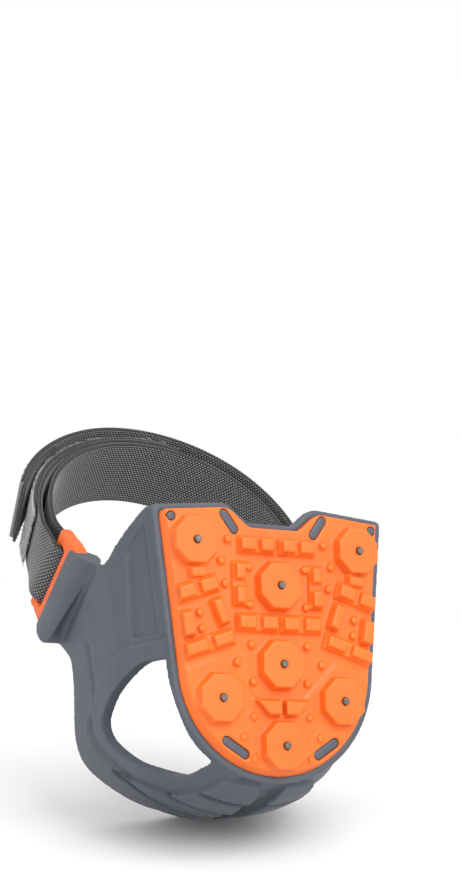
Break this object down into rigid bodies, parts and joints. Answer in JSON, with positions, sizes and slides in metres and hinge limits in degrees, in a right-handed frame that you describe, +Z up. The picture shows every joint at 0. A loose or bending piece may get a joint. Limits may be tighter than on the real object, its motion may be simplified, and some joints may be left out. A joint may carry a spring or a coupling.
{
  "type": "heel ice spur",
  "caption": "Elastic heel cup with a studded tread plate and an instep strap, worn over a boot heel for grip on ice.",
  "frame": {"origin": "on the heel seat, above the middle stud, where the boot heel stands", "axes": "+Z up out of the heel seat, -Y towards the toe, +X to the right side seen from above with the toe ahead on -Y"},
  "size_m": [0.1015, 0.1426, 0.1238],
  "materials": {
    "grey_elastomer": "satin moulded elastomer",
    "orange_rubber": "satin moulded rubber",
    "orange_plastic": "satin moulded plastic",
    "stud_steel": "turned steel",
    "carbide": "ground carbide",
    "webbing": "woven webbing",
    "loop_fabric": "brushed loop tape",
    "hook_fabric": "hook tape"
  },
  "bodies": {
    "frame": {"heel_frame": "grey_elastomer", "tread_plate": "orange_rubber", "stud_front_left": "stud_steel", "stud_front_right": "stud_steel", "stud_fore": "stud_steel", "stud_middle": "stud_steel", "stud_rear_left": "stud_steel", "stud_rear_right": "stud_steel", "stud_heel": "stud_steel", "tip_front_left": "carbide", "tip_front_right": "carbide", "tip_fore": "carbide", "tip_middle": "carbide", "tip_rear_left": "carbide", "tip_rear_right": "carbide", "tip_heel": "carbide", "strap_loop_left": "orange_plastic", "strap_loop_right": "orange_plastic", "strap_main": "webbing", "loop_tape": "loop_fabric"},
    "tail": {"strap_return": "webbing"},
    "flap": {"strap_flap": "webbing", "hook_tape": "hook_fabric"}
  },
  "joints": [
    {"name": "tail_peel", "type": "hinge", "parent": "frame", "child": "tail", "pos_m": [0.04924, -0.04095, 0.06534], "axis": [0, 0.6018, 0.7986], "range_deg": [0, 75]},
    {"name": "tail_unbend", "type": "hinge", "parent": "tail", "child": "flap", "pos_m": [-0.02174, -0.086, 0.09929], "axis": [0, 0.6018, 0.7986], "range_deg": [0, 75]}
  ],
  "couplings": [
    {"joint": "tail_unbend", "follows": "tail_peel", "ratio": 1}
  ]
}
